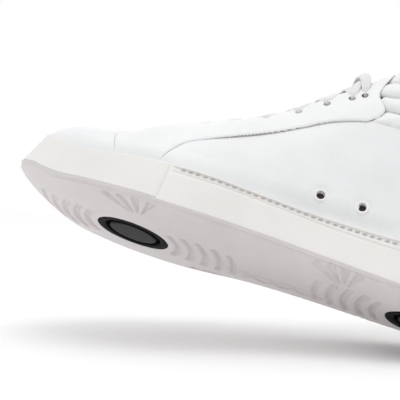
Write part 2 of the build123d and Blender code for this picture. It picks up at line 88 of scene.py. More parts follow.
# upper stations, toe to ankle: top x, top z, bottom x, bottom z, medial and lateral half
# widths, upper and lower exponents, and the share of the height at the widest point
STATIONS = [
    (-133, 35, -133, 25, 17, 12, 2.2, 3.0, 0.40),
    (-128, 41.5, -128, 20, 27, 20, 2.2, 3.4, 0.34),
    (-116, 46.8, -116, 17, 35, 31, 2.2, 4.0, 0.30),
    (-100, 49.2, -100, 14.5, 41, 39, 2.2, 4.0, 0.28),
    (-84, 51.8, -82, 14, 44.5, 43.5, 2.15, 4.0, 0.26),
    (-68, 63, -60, 14, 47, 46.5, 2.05, 4.0, 0.24),
    (-52, 70.5, -36, 14.5, 45.8, 47, 2.1, 4.0, 0.24),
    (-34, 79, -8, 16, 41.5, 46, 2.4, 4.0, 0.24),
    (-16, 88.5, 24, 18, 36, 43, 2.7, 3.8, 0.25),
    (-1, 98.5, 58, 20, 32, 40, 3.0, 3.6, 0.27),
    (12, 109, 92, 22.5, 31, 37.5, 3.2, 3.3, 0.30),
    (21, 117.5, 119, 25, 31, 35, 3.1, 3.0, 0.36),
    (29, 125, 135, 34, 30.5, 33, 2.8, 2.7, 0.42),
    (36, 132, 141, 51, 31, 33, 2.6, 2.4, 0.46),
    (42, 137.5, 142, 75, 32, 33.5, 2.4, 2.3, 0.48),
    (48, 142.5, 140.5, 100, 33, 34, 2.2, 2.2, 0.50),
    (54, 147.5, 140.5, 125, 34, 34.5, 2.2, 2.2, 0.50),
    (62, 157, 142.5, 149, 35, 35.5, 2.2, 2.2, 0.50),
    (70, 168, 146, 172, 37, 37.5, 2.2, 2.2, 0.50),
]
LAST = len(STATIONS) - 1
VAMP_SEAM = [(-82, 5), (-83, 26), (-86, 35), (-89, 43), (-93, 54), (-97, 75)]
QUARTER_SEAM = [(-56, 5), (-56, 26), (-53, 37), (-47, 46), (-37, 53.5), (-22, 63), (-2, 75.5),
                (16, 87.5), (26, 93.5), (36, 97.5), (47, 100.5)]
STAY_REAR = [(47, 100.5), (53, 106), (54, 111.5), (48.5, 120), (49, 128), (52, 137), (58, 152),
             (70, 178)]
THROAT = [(-80, 4), (-76, 8), (-64, 11), (-30, 13), (20, 15), (56, 17), (90, 19)]
THROAT_FRONT = -72.0
THROAT_ROUND = 9.0
THROAT_FRONT_HALF = 9.2
RIB_LEVELS = [100.0, 111.0, 121.5, 133.0, 149.0]
LACE_X = (-62.0, -45.0, -28.5, -11.0, 6.5, 21.0, 34.0, 41.0)
EYELET_SET = 5.5
EYELET_HOLE = 2.2
VENTS = [(36.5, 45.0), (61.2, 46.0)]
VENT_HOLE = 2.5

# leather: thickness, how far a seam runs under the next panel, and the overlay's cut edge
LEATHER = 1.4
OVERLAY_LEATHER = 1.5
UNDERLAP = 3.5
OVERLAY_PROUD = 1.35
EDGE_RADIUS = 1.4

FOOTBED_INSET = 16.5
FOOTBED_HEIGHTS = (3.6, 6.2)


# ---- numbers ------------------------------------------------------------------------
def smooth(table, x, period=None):
    """Smooth reading of rows (x, value, ...) at x, through every row; closed with a period."""
    rows = np.array(table, float)
    knots, values = rows[:, 0], rows[:, 1:]
    if period:
        knots = np.concatenate([knots[-3:] - period, knots, knots[:3] + period])
        values = np.concatenate([values[-3:], values, values[:3]])
    gaps = np.diff(knots)[:, None]
    secants = np.diff(values, axis=0) / gaps
    inner = (secants[:-1] * gaps[1:] + secants[1:] * gaps[:-1]) / (gaps[:-1] + gaps[1:])
    slopes = np.concatenate([secants[:1], inner, secants[-1:]])
    x = np.asarray(x, float)
    i = np.clip(np.searchsorted(knots, x) - 1, 0, len(knots) - 2)
    h = gaps[i]
    u = ((x - knots[i])[..., None]) / h
    start = (2 * u ** 3 - 3 * u ** 2 + 1) * values[i] + (u ** 3 - 2 * u ** 2 + u) * h * slopes[i]
    end = (3 * u ** 2 - 2 * u ** 3) * values[i + 1] + (u ** 3 - u ** 2) * h * slopes[i + 1]
    return start + end


def read(table, x):
    """A one-column smooth table at x."""
    low, high = table[0][0], table[-1][0]
    return smooth(table, np.clip(x, low, high))[..., 0]


def ramp(x, low, high):
    """0 below low, 1 above high, eased between them."""
    share = np.clip((np.asarray(x, float) - low) / (high - low), 0, 1)
    return share * share * (3 - 2 * share)


def unit(v):
    return v / np.maximum(np.linalg.norm(v, axis=-1, keepdims=True), 1e-9)


def signed_power(v, power):
    """A power that keeps the sign."""
    return np.sign(v) * np.abs(v) ** power


# ---- the upper's surface ------------------------------------------------------------
STATION_ROWS = [(i,) + row for i, row in enumerate(STATIONS)]


def upper_point(t, angle):
    """A point on the upper. t counts stations; angle is 0 on top, positive to the lateral side."""
    t, angle = np.broadcast_arrays(np.asarray(t, float), np.asarray(angle, float))
    top_x, top_z, low_x, low_z, medial, lateral, upper, lower, widest = \
        np.moveaxis(smooth(STATION_ROWS, np.clip(t, 0, LAST)), -1, 0)
    across, along = np.sin(angle), np.cos(angle)
    power = 2 / np.where(along >= 0, upper, lower)
    reach = np.where(across >= 0, lateral, medial)
    height = np.hypot(top_x - low_x, top_z - low_z)
    span = height * np.where(along >= 0, 1 - widest, widest)
    s = height * widest + span * signed_power(along, power)
    share = s / height
    x = low_x + (top_x - low_x) * share
    z = low_z + (top_z - low_z) * share
    y = reach * signed_power(across, power)
    return np.stack([x, y, z], axis=-1)


def upper_normal(t, angle):
    dt, da = 0.03, 0.02
    t0 = np.clip(np.asarray(t, float), dt, LAST - dt)
    run = upper_point(t0 + dt, angle) - upper_point(t0 - dt, angle)
    turn = upper_point(t0, angle + da) - upper_point(t0, angle - da)
    return unit(np.cross(run, turn))


def upper_at(t, angle, proud=0.0):
    """A point on the upper, moved outwards by proud."""
    return upper_point(t, angle) + upper_normal(t, angle) * np.asarray(proud)[..., None]


def angle_at(t, y):
    """The angle on the top half where the upper is y across."""
    rows = smooth(STATION_ROWS, np.clip(t, 0, LAST))
    reach = np.where(y >= 0, rows[..., 5], rows[..., 4])
    share = np.clip(np.abs(y) / reach, 0, 0.995) ** (rows[..., 6] / 2)
    return np.sign(y) * np.arcsin(share)


def throat_half(x):
    """Half width of the throat; nothing in front of its rounded end."""
    opening = read(THROAT, x)
    ahead = (THROAT_FRONT - x) / THROAT_ROUND
    front = np.sqrt(np.clip(1 - ahead ** 2, 0, 1)) * THROAT_FRONT_HALF
    return np.where(ahead > 1, -30.0, np.where(ahead > 0, front, opening))


# ---- meshes -------------------------------------------------------------------------
def add_object(name, data):
    """A new object in the scene."""
    item = bpy.data.objects.new(name, data)
    bpy.context.scene.collection.objects.link(item)
    return item


def mesh_object(name, points, faces, material):
    """A smooth-shaded mesh from points in millimetres."""
    mesh = bpy.data.meshes.new(name)
    mesh.from_pydata((np.asarray(points) * MM).tolist(), [], [list(map(int, f)) for f in faces])
    mesh.validate()
    mesh.shade_smooth()
    mesh.materials.append(material)
    return add_object(name, mesh)


def grid_faces(rows, columns, wrap_rows=False, wrap_columns=False):
    last_row = rows if wrap_rows else rows - 1
    last_column = columns if wrap_columns else columns - 1
    r = np.arange(last_row)[:, None]
    c = np.arange(last_column)[None, :]
    r2, c2 = (r + 1) % rows, (c + 1) % columns
    corners = [r * columns + c, r * columns + c2, r2 * columns + c2, r2 * columns + c]
    return np.stack([np.broadcast_to(k, (last_row, last_column)).ravel() for k in corners], 1)


def grid_object(name, grid, material, wrap_rows=False, wrap_columns=False):
    rows, columns = grid.shape[:2]
    faces = grid_faces(rows, columns, wrap_rows, wrap_columns)
    return mesh_object(name, grid.reshape(-1, 3), faces, material)


def clip(params, faces, field):
    """The part of a mesh of quads where the field is positive, cut cleanly along zero."""
    inside = field[faces] > 0
    kept = [list(f) for f in faces[inside.all(axis=1)]]
    rows = [tuple(p) for p in params]
    cuts = {}

    def cut(a, b):
        key = (min(a, b), max(a, b))
        if key not in cuts:
            share = field[a] / (field[a] - field[b])
            cuts[key] = len(rows)
            rows.append(tuple(params[a] + share * (params[b] - params[a])))
        return cuts[key]

    crossed = inside.any(axis=1) & ~inside.all(axis=1)
    for face, flags in zip(faces[crossed], inside[crossed]):
        loop = []
        for k in range(len(face)):
            a, b = face[k], face[(k + 1) % len(face)]
            if flags[k]:
                loop.append(a)
            if flags[k] != flags[(k + 1) % len(face)]:
                loop.append(cut(a, b))
        for k in range(1, len(loop) - 1):
            kept.append([loop[0], loop[k], loop[k + 1], loop[k + 1]])
    used, back = np.unique(np.array(kept, dtype=int), return_inverse=True)
    return np.array(rows)[used], back.reshape(-1, 4)


def unrepeated(faces):
    """Faces as lists, with a repeated last corner dropped."""
    return [list(f[:3]) if f[2] == f[3] else list(f) for f in faces]


def lip_sides():
    """The lip's inner edge as plan lines, medial then lateral, each with rising x."""
    lines = []
    for first, last in ((0, OUTLINE_TURNS / 2), (OUTLINE_TURNS, OUTLINE_TURNS / 2)):
        trim = np.sign(last - first) * 0.3
        u = np.linspace(first + trim, last - trim, 600)
        lines.append(wall_point(u, read(LIP_TOP, outline_point(u)[:, 0]), LIP_INSET)[:, :2])
    return lines


def meet_lip(points):
    """Brings the upper's lower rim to the lip's inner edge, along both sides."""
    points = points.copy()
    above = points[:, 2] - read(LIP_TOP, points[:, 0])
    share = (1 - ramp(above, 0.0, 11.0)) * ramp(points[:, 0], -122, -95) \
        * (1 - ramp(points[:, 0], 105, 128))
    for line, side in zip(lip_sides(), (-1, 1)):
        mine = points[:, 1] * side > 0
        wanted = np.interp(points[:, 0], line[:, 0], line[:, 1])
        points[:, 1] += np.where(mine, share * (wanted - points[:, 1]), 0)
    return points


def patch(t_range, angle_range, rows, columns):
    """A parameter mesh over ranges of t and angle."""
    t = np.linspace(*t_range, rows)
    angle = np.linspace(*angle_range, columns)
    grid = np.stack(np.meshgrid(t, angle, indexing="ij"), axis=-1)
    return grid.reshape(-1, 2), grid_faces(rows, columns)


def panel(name, patch_mesh, fields, height, thickness):
    """A leather sheet on the upper, cut where any field turns negative, with a dark rim: its own
    cut edge, made darker as painted shade for the seam line.
    """
    params, faces = patch_mesh
    for field in fields:
        place = upper_point(params[:, 0], params[:, 1])
        params, faces = clip(params, faces, field(params, place))
    place = upper_point(params[:, 0], params[:, 1])
    proud = height(params, place)
    points = meet_lip(upper_at(params[:, 0], params[:, 1], proud))
    piece = mesh_object(name, points, unrepeated(faces), WHITE_LEATHER)
    piece.data.materials.append(CUT_EDGE_AND_SHADE)
    solid = piece.modifiers.new("thickness", "SOLIDIFY")
    solid.thickness = thickness * MM
    solid.offset = -1
    solid.material_offset_rim = 1
    graph = bpy.context.evaluated_depsgraph_get()
    mesh = bpy.data.meshes.new_from_object(piece.evaluated_get(graph))
    piece.modifiers.clear()
    piece.data = mesh
    return piece


def lathe(name, profile, origin, normal, material, stretch=(1.0, 1.0), steps=64):
    """A turned piece: profile rows of (radius, height) about a normal; stretch makes it oval."""
    normal = unit(np.array(normal, float))
    side = unit(np.cross([0.0, 1.0, 0.0] if abs(normal[1]) < 0.8 else [1.0, 0.0, 0.0], normal))
    other = np.cross(normal, side)
    turn = np.linspace(0, 2 * math.pi, steps, endpoint=False)
    rows = [np.array(origin) + normal * height + side * stretch[0] * radius * np.cos(turn)[:, None]
            + other * stretch[1] * radius * np.sin(turn)[:, None] for radius, height in profile]
    return grid_object(name, np.array(rows), material, wrap_columns=True)


def join_meshes(name, parts, material):
    """One object from several (points, faces) parts."""
    points, faces, start = [], [], 0
    for part_points, part_faces in parts:
        points.append(part_points)
        faces += [[int(i) + start for i in f] for f in part_faces]
        start += len(part_points)
    return mesh_object(name, np.concatenate(points), faces, material)


# ---- the sole's surfaces ------------------------------------------------------------
def outline_rows():
    """The outline as a closed run: toe tip, medial side, heel tip, lateral side."""
    medial = [(x, low) for x, low, _ in OUTLINE]
    lateral = [(x, high) for x, _, high in reversed(OUTLINE)]
    points = [(-HALF_LENGTH, TOE_TIP_Y)] + medial + [(HALF_LENGTH, HEEL_TIP_Y)] + lateral
    return [(i,) + point for i, point in enumerate(points)]


OUTLINE_ROWS = outline_rows()
OUTLINE_TURNS = len(OUTLINE_ROWS)


def outline_point(u):
    u = np.mod(u, OUTLINE_TURNS)
    return smooth(OUTLINE_ROWS, u, period=OUTLINE_TURNS)


def outline_inward(u):
    run = unit(outline_point(u + 0.02) - outline_point(u - 0.02))
    return np.stack([-run[..., 1], run[..., 0]], axis=-1), run


def width_at(x):
    """Middle and half width of the outsole at x."""
    edges = [(-HALF_LENGTH, TOE_TIP_Y - 3, TOE_TIP_Y + 3)] + OUTLINE
    edges.append((HALF_LENGTH, HEEL_TIP_Y - 3, HEEL_TIP_Y + 3))
    medial, lateral = np.moveaxis(smooth(edges, np.clip(x, -HALF_LENGTH, HALF_LENGTH)), -1, 0)
    return (medial + lateral) / 2, np.maximum((lateral - medial) / 2, 32)


def underside(x, y):
    """Height of the tread's face above the ground."""
    middle, half = width_at(x)
    toe = TOE_SPRING * (np.clip(TOE_SPRING_X - x, 0, None) / (HALF_LENGTH + TOE_SPRING_X)) ** 2
    heel = HEEL_SPRING * (np.clip(x - HEEL_SPRING_X, 0, None) / (HALF_LENGTH - HEEL_SPRING_X)) ** 2
    bulge = read(CROWN, x) * np.abs((y - middle) / half) ** CROWN_POWER
    return np.clip(toe + heel + bulge - GROUND_FLAT, 0, None)


def wall_point(u, z, inset=0.0):
    """A point on the sidewall at height z."""
    place = outline_point(u)
    inward, run = outline_inward(u)
    share = np.clip((z - LEAN_HEIGHTS[0]) / (LEAN_HEIGHTS[1] - LEAN_HEIGHTS[0]), 0, None)
    lean = WALL_LEAN * share
    end = np.where(place[..., 0] < 0, TOE_LEAN, HEEL_LEAN) * share - lean
    end_share = (np.abs(place[..., 0]) / HALF_LENGTH) ** 3 * np.abs(run[..., 1])
    reach = (lean + end * end_share + inset)[..., None]
    flat = place + inward * reach
    return np.concatenate([flat, np.broadcast_to(z, flat.shape[:-1])[..., None]], axis=-1)


def foot_line(u, inset=0.0):
    """Plan of the sidewall's lower edge, where it meets the tread."""
    place = outline_point(u)
    return wall_point(u, underside(place[..., 0], place[..., 1]), inset)[..., :2]


def lip_round(x):
    """Radius of the lip's rounded edge, larger round the toe."""
    return 1.3 + 3.2 * ramp(-x, 118, 142)


def wall_grid(u, rows, bumper):
    """Sidewall from the tread up, with its crease, stitch channel and lip."""
    x, y = outline_point(u).T
    base = underside(x, y)
    lip = read(LIP_TOP, x)
    crease = read(LIP_CREASE, x)
    shares = np.linspace(0, 1, rows)
    z = base[None, :] + EDGE_ROUND + (lip - base - EDGE_ROUND)[None, :] * shares[:, None]
    from_top = lip[None, :] - z
    band = (z - crease[None, :]) / (lip - crease)[None, :]
    radius = lip_round(x)[None, :]
    under = np.clip(radius - from_top, 0, radius)
    inset = radius - np.sqrt(np.clip(radius ** 2 - under ** 2, 0, None))
    if not bumper:
        groove = 0.75 * np.exp(-((z - crease[None, :]) / 0.7) ** 2)
        channel = 0.85 * ramp(band, 0.3, 0.42) * (1 - ramp(band, 0.62, 0.75))
        behind = ramp(x, SEAM_X + 0.5, SEAM_X + 5)[None, :]
        inset = inset + (groove + channel + 0.5 * ramp(band, -0.05, 0.1)) * behind
    seam = 0.8 * np.exp(-((x - SEAM_X) / 0.8) ** 2)[None, :]
    inset = inset + seam * ramp(shares, 0.02, 0.08)[:, None]
    if bumper:
        inset = inset + 0.6 * np.exp(-((z - base - EDGE_ROUND - 0.4) / 0.45) ** 2)
    return wall_point(np.broadcast_to(u, z.shape), z, inset)


def lip_return(u, depth=9.0, rows=7):
    """The lip's top face, running in under the upper."""
    x = outline_point(u)[:, 0]
    lip = read(LIP_TOP, x)
    grid = []
    for share in np.linspace(0, 1, rows):
        z = lip - 0.5 * share - 0.6 * share ** 3
        grid.append(wall_point(u, z, lip_round(x) + depth * share))
    return np.array(grid)


def edge_grid(u, rows=6):
    """The rounded bottom edge, from the tread's face up to the sidewall."""
    place = outline_point(u)
    base = underside(place[:, 0], place[:, 1])
    grid = []
    for turn in np.linspace(0, math.pi / 2, rows):
        flat = foot_line(u, EDGE_ROUND * (1 - math.sin(turn)))
        low = underside(flat[:, 0], flat[:, 1])
        z = np.where(turn < 0.01, low, base) + EDGE_ROUND * (1 - math.cos(turn))
        grid.append(np.column_stack([flat, z]))
    return np.array(grid)


def near_outline(points):
    """Distance of plan points inside the outline."""
    u = np.linspace(0, OUTLINE_TURNS, 900, endpoint=False)
    line = foot_line(u)
    inward, _ = outline_inward(u)
    best = np.empty(len(points))
    for i in range(0, len(points), 4000):
        part = points[i:i + 4000]
        gaps = part[:, None, :] - line[None, :, :]
        reach = (gaps ** 2).sum(-1)
        k = reach.argmin(1)
        nearest = gaps[np.arange(len(part)), k]
        best[i:i + 4000] = (nearest * inward[k]).sum(-1)
    return best


def groove(distance, half, soft=0.55):
    """1 in a groove's floor, 0 outside it."""
    return 1 - ramp(np.abs(distance), half - soft, half + soft)


def arc_bars(x, y, middle, start, step, count, width, angle, narrowing, facing):
    """Curved grooves round a pod, each further out and shorter than the last."""
    dx, dy = (x - middle[0]) * facing, y - middle[1]
    reach = np.hypot(dx, dy)
    turn = np.degrees(np.abs(np.arctan2(dy, dx)))
    best = np.zeros(x.shape)
    for k in range(count):
        radius = start + step * k
        limit = angle - narrowing * k
        end = (turn - limit) * math.pi / 180 * radius
        mask = groove(reach - radius, width / 2) * (1 - ramp(end, -0.8, 0.8))
        best = np.maximum(best, mask)
    return best


def leaf_groove(x, y, root, tip, width):
    """A groove that starts as a point at its root and widens to its tip."""
    a, b = np.array(root, float), np.array(tip, float)
    run = b - a
    length = np.linalg.norm(run)
    along = ((x - a[0]) * run[0] + (y - a[1]) * run[1]) / length / length
    off = np.abs((x - a[0]) * run[1] - (y - a[1]) * run[0]) / length
    half = width / 2 * np.clip(0.15 + along, 0, 1.1)
    ends = ramp(along, -0.03, 0.06) * (1 - ramp(along, 0.97, 1.04))
    return (1 - ramp(off - half, -0.5, 0.3)) * ends


LEAF_FANS = [
    ((-60, -24), [(-80, -45), (-70, -47.5), (-60, -49), (-50, -48)]),
    ((-24, 34), [(-34, 50), (-25, 51), (-16, 50.5), (-8, 49)]),
    ((66, -14), [(46, -30), (55, -31.5), (64, -32), (73, -32)]),
    ((78, 24), [(66, 42), (75, 41.5), (84, 40.5), (92, 39)]),
]


def tread(x, y):
    """Share of the groove depth at plan points."""
    fore, rear = (POD_X[0], POD_Y[0]), (POD_X[1], POD_Y[1])
    best = arc_bars(x, y, fore, 30, 7.4, 5, 3.2, 34, 4.2, -1)
    best = np.maximum(best, arc_bars(x, y, fore, 30, 9.0, 5, 3.4, 34, 4.8, 1))
    best = np.maximum(best, arc_bars(x, y, rear, 28, 8.8, 5, 3.4, 33, 4.6, -1))
    for root, tips in LEAF_FANS:
        for tip in tips:
            near = (root[0] + (tip[0] - root[0]) * 0.25, root[1] + (tip[1] - root[1]) * 0.25)
            best = np.maximum(best, leaf_groove(x, y, near, tip, 4.4))
    wave = y - 15 + 0.12 * (x - 30) - 2.2 * np.sin(x * 2 * math.pi / 13)
    ends = ramp(x, 2, 5) * (1 - ramp(x, 56, 59))
    best = np.maximum(best, groove(wave, 1.3) * ends)
    straight = y - 9 + 0.12 * (x - 30)
    return np.maximum(best, groove(straight, 0.9) * ramp(x, -8, -4) * (1 - ramp(x, 40, 46)))


def grid_part(grid, **wrap):
    """A grid as (points, faces), with its faces turned over."""
    return grid.reshape(-1, 3), grid_faces(*grid.shape[:2], **wrap)[:, ::-1]


def make_sole():
    step = 0.75
    xs = np.arange(-HALF_LENGTH - 1, HALF_LENGTH + 1, step)
    ys = np.arange(-58, 58, step)
    plan = np.stack(np.meshgrid(xs, ys, indexing="ij"), axis=-1).reshape(-1, 2)
    faces = grid_faces(len(xs), len(ys))
    plan, faces = clip(plan, faces, near_outline(plan) - EDGE_ROUND)
    for middle_x, middle_y, (long_radius, short_radius) in zip(POD_X, POD_Y, POD_RADII):
        oval = np.hypot((plan[:, 0] - middle_x) / (long_radius + 0.3),
                        (plan[:, 1] - middle_y) / (short_radius + 0.3))
        plan, faces = clip(plan, faces, (oval - 1) * short_radius)
    rim = groove(near_outline(plan) - RIM_GROOVE_INSET, 0.6, 0.5) * ramp(plan[:, 0], -125, -100)
    depth = TREAD_DEPTH * tread(plan[:, 0], plan[:, 1]) + RIM_GROOVE_DEPTH * rim
    points = np.column_stack([plan, underside(plan[:, 0], plan[:, 1]) + depth])
    parts = [(points, [f[::-1] for f in unrepeated(faces)])]

    count = 640
    ring = np.linspace(0, OUTLINE_TURNS, count, endpoint=False)
    turns = np.linspace(0, OUTLINE_TURNS, 4000)
    ahead = outline_point(turns)[:, 0] < SEAM_X
    first, last = turns[1:][ahead[1:] != ahead[:-1]]
    rear = np.linspace(first, last, count)
    front = np.linspace(last - OUTLINE_TURNS, first, count // 2)
    rear_rows = 100
    parts.append(grid_part(edge_grid(ring), wrap_columns=True))
    low_faces = len(parts[0][1]) + len(parts[1][1])
    parts += [grid_part(wall_grid(rear, rear_rows, False)), grid_part(lip_return(rear))]
    outsole = join_meshes("outsole", parts, TREAD)
    outsole.data.materials.append(SIDEWALL)
    for polygon in outsole.data.polygons:
        polygon.material_index = 0 if polygon.index < low_faces else 1
    front_parts = [grid_part(wall_grid(front, rear_rows, True)), grid_part(lip_return(front))]
    return outsole, join_meshes("toe_cap_rubber", front_parts, SIDEWALL)


def make_pods():
    pieces = []
    for index, name in enumerate(("forefoot", "heel")):
        long_radius, short_radius = POD_RADII[index]
        stretch = (long_radius / short_radius, 1.0)
        outer, inner = short_radius, short_radius - POD_RING
        disc = inner - POD_GROOVE
        middle = (POD_X[index], POD_Y[index], 0.0)
        ring_rows = [(outer, 3.4), (outer, 0.8), (outer - 0.25, 0.25), (outer - 0.8, 0.0),
                     (inner + 0.8, 0.0), (inner + 0.2, 0.3), (inner, 0.9), (inner, 3.2)]
        floor_rows = [(inner, POD_FLOOR), (0.01, POD_FLOOR)]
        disc_rows = [(disc, 3.1), (disc, 0.95), (disc - 0.15, 0.5), (disc - 0.45, 0.18),
                     (disc - 0.95, 0.02)]
        disc_rows += [(r, 0.0) for r in np.linspace(disc - 1.6, 0.01, 7)]
        up = (0, 0, 1)
        ring = lathe(f"{name}_pivot_ring", ring_rows + floor_rows, middle, up, RING_BLACK,
                     stretch, 96)
        pad = lathe(f"{name}_pivot_disc", disc_rows, middle, up, DISC_BLACK, stretch, 96)
        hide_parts(f"{name}_pod_ring")
        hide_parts(f"{name}_pod_disc")
        pieces += [ring, pad]
    return pieces


# ---- materials ----------------------------------------------------------------------
def new_material(name, color, roughness):
    material = bpy.data.materials.new(name)
    material.use_nodes = True
    shader = material.node_tree.nodes["Principled BSDF"]
    shader.inputs["Base Color"].default_value = (*color, 1)
    shader.inputs["Roughness"].default_value = roughness
    return material, material.node_tree, shader


def add_node(tree, kind, **settings):
    node = tree.nodes.new(kind)
    for key, value in settings.items():
        if key in node.inputs:
            node.inputs[key].default_value = value
        else:
            setattr(node, key, value)
    return node


def mottle(tree, shader, dark, light, scale, place):
    """Soft colour variation between two shades."""
    noise = add_node(tree, "ShaderNodeTexNoise", Scale=scale, Detail=4.0, Roughness=0.6)
    blend = add_node(tree, "ShaderNodeValToRGB")
    blend.color_ramp.elements[0].position = 0.32
    blend.color_ramp.elements[0].color = (*dark, 1)
    blend.color_ramp.elements[1].position = 0.68
    blend.color_ramp.elements[1].color = (*light, 1)
    tree.links.new(place, noise.inputs["Vector"])
    tree.links.new(noise.outputs["Fac"], blend.inputs["Fac"])
    tree.links.new(blend.outputs["Color"], shader.inputs["Base Color"])
    return noise


def bump(tree, shader, height, strength, distance, below=None):
    node = add_node(tree, "ShaderNodeBump", Strength=strength, Distance=distance)
    tree.links.new(height, node.inputs["Height"])
    if below:
        tree.links.new(below.outputs["Normal"], node.inputs["Normal"])
    tree.links.new(node.outputs["Normal"], shader.inputs["Normal"])
    return node


def vary_roughness(tree, shader, noise, low, high):
    spread = add_node(tree, "ShaderNodeMapRange")
    spread.inputs["To Min"].default_value = low
    spread.inputs["To Max"].default_value = high
    tree.links.new(noise.outputs["Fac"], spread.inputs["Value"])
    tree.links.new(spread.outputs["Result"], shader.inputs["Roughness"])


def mottled(name, dark, light, roughness, scale, spread=None):
    """A material with soft colour variation and, with a spread, uneven roughness."""
    material, tree, shader = new_material(name, light, roughness)
    place = add_node(tree, "ShaderNodeTexCoord").outputs["Object"]
    noise = mottle(tree, shader, dark, light, scale, place)
    if spread:
        vary_roughness(tree, shader, noise, roughness - spread, roughness + 0.08)
    return material, tree, shader, place


def leather(name, dark, light, roughness):
    """Full-grain leather: pebbled grain, fine pores and a faint wrinkle."""
    material, tree, shader, place = mottled(name, dark, light, roughness, 38.0, 0.06)
    wrinkle = add_node(tree, "ShaderNodeTexNoise", Scale=75.0, Detail=3.0, Distortion=0.4)
    tree.links.new(place, wrinkle.inputs["Vector"])
    first = bump(tree, shader, wrinkle.outputs["Fac"], 0.30, 0.0006)
    grain = add_node(tree, "ShaderNodeTexVoronoi", Scale=900.0)
    tree.links.new(place, grain.inputs["Vector"])
    bump(tree, shader, grain.outputs["Distance"], 0.22, 0.00012, first)
    shader.inputs["Specular IOR Level"].default_value = 0.4
    shader.inputs["Subsurface Weight"].default_value = 0.05
    return material


def moulded_rubber(name, dark, light, roughness, grain_scale=1400.0, grain=0.15):
    material, tree, shader, place = mottled(name, dark, light, roughness, 30.0, 0.05)
    fine = add_node(tree, "ShaderNodeTexNoise", Scale=grain_scale, Detail=2.0)
    tree.links.new(place, fine.inputs["Vector"])
    bump(tree, shader, fine.outputs["Fac"], grain, 0.0001)
    return material


def woven(name, dark, light, scale, roughness=0.85, strength=0.5):
    """Cloth: two crossed thread waves that lift the surface."""
    material, tree, shader, place = mottled(name, dark, light, roughness, 160.0)
    below = None
    for direction in ("X", "Z"):
        thread = add_node(tree, "ShaderNodeTexWave", Scale=scale, Distortion=1.2, Detail=1.0)
        thread.bands_direction = direction
        tree.links.new(place, thread.inputs["Vector"])
        below = bump(tree, shader, thread.outputs["Fac"], strength, 0.00025, below)
    shader.inputs["Sheen Weight"].default_value = 0.15
    return material


WHITE_LEATHER = leather("white_leather", (0.795, 0.79, 0.785), (0.83, 0.827, 0.82), 0.44)
# the panels' cut edges: a greyish raw edge, made near black to also paint the seam's shadow line
CUT_EDGE_AND_SHADE = leather("leather_cut_edge_and_shade", (0.20, 0.18, 0.17), (0.30, 0.27, 0.26), 0.8)
SIDEWALL = moulded_rubber("sidewall_rubber", (0.74, 0.725, 0.705), (0.78, 0.765, 0.745), 0.48)
TREAD = moulded_rubber("tread_rubber", (0.64, 0.60, 0.60), (0.69, 0.65, 0.65), 0.45)
RING_BLACK = moulded_rubber("pivot_ring_rubber", (0.006, 0.006, 0.007), (0.012, 0.012, 0.013), 0.55)
DISC_BLACK = moulded_rubber("pivot_disc_plastic", (0.004, 0.004, 0.005), (0.009, 0.009, 0.010),
                            0.3, 300.0, 0.03)
for dark in (RING_BLACK, DISC_BLACK):
    dark.node_tree.nodes["Principled BSDF"].inputs["Specular IOR Level"].default_value = 0.03
LINING_CLOTH = woven("lining_cloth", (0.70, 0.69, 0.68), (0.80, 0.79, 0.78), 420.0)
LACE_CLOTH = woven("lace_weave", (0.80, 0.79, 0.785), (0.88, 0.875, 0.87), 520.0, 0.75, 0.6)
THREAD = woven("thread", (0.62, 0.59, 0.57), (0.74, 0.71, 0.69), 1500.0, 0.7)
# near-black cloth for the discs set deep in the vent holes: painted shade inside the holes
VENT_HOLE_SHADE = woven("vent_hole_shade_cloth", (0.03, 0.028, 0.027), (0.08, 0.075, 0.07), 1200.0)
ENAMEL = moulded_rubber("white_enamel", (0.80, 0.79, 0.78), (0.86, 0.85, 0.84), 0.3, 500.0, 0.04)
FOAM = moulded_rubber("foam_cells", (0.70, 0.68, 0.63), (0.80, 0.78, 0.73), 0.9, 700.0, 0.6)
BOARD = woven("fibre_board", (0.55, 0.50, 0.42), (0.68, 0.62, 0.52), 300.0)
STIFFENER = moulded_rubber("stiffener_sheet", (0.55, 0.51, 0.45), (0.64, 0.60, 0.53), 0.7)
SHANK = moulded_rubber("shank_plastic", (0.05, 0.05, 0.05), (0.08, 0.08, 0.08), 0.5)


# ---- sole ---------------------------------------------------------------------------
def build_sole():
    outsole, bumper = make_sole()
    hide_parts("outsole_cup")
    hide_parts("toe_bumper")
    return [outsole, bumper] + make_pods()


# ---- upper --------------------------------------------------------------------------
def dense(curve, steps=10):
    knots = [(i,) + tuple(point) for i, point in enumerate(curve)]
    return smooth(knots, np.linspace(0, len(curve) - 1, steps * len(curve)))


def line_distance(line, x, z):
    """Signed distance of side-view points from a dense line, positive to its left."""
    best = np.full(x.shape, 1e9)
    sign = np.ones(x.shape)
    for a, b in zip(line, line[1:]):
        run = b - a
        length = run @ run
        if length < 1e-9:
            continue
        share = np.clip(((x - a[0]) * run[0] + (z - a[1]) * run[1]) / length, 0, 1)
        dx, dz = x - a[0] - share * run[0], z - a[1] - share * run[1]
        reach = np.hypot(dx, dz)
        nearer = reach < best
        side = np.where(run[0] * (z - a[1]) - run[1] * (x - a[0]) >= 0, 1.0, -1.0)
        best = np.where(nearer, reach, best)
        sign = np.where(nearer, side, sign)
    return best * sign


VAMP_LINE = dense(VAMP_SEAM)
REAR_LINE = np.concatenate([dense(QUARTER_SEAM), dense(STAY_REAR)])


def ahead_of_vamp(place):
    return line_distance(VAMP_LINE, place[:, 0], place[:, 2])


def ahead_of_rear(place):
    return line_distance(REAR_LINE, place[:, 0], place[:, 2])


def off_throat(params, place):
    """Distance outside the throat, on the top of the upper only."""
    gap = np.abs(place[:, 1]) - throat_half(place[:, 0])
    return np.where(np.cos(params[:, 1]) > 0, gap, 30.0)


def above_sole(place):
    return place[:, 2] - read(LIP_TOP, place[:, 0]) + 1.6 + 3.4 * ramp(-place[:, 0], 100, 118)


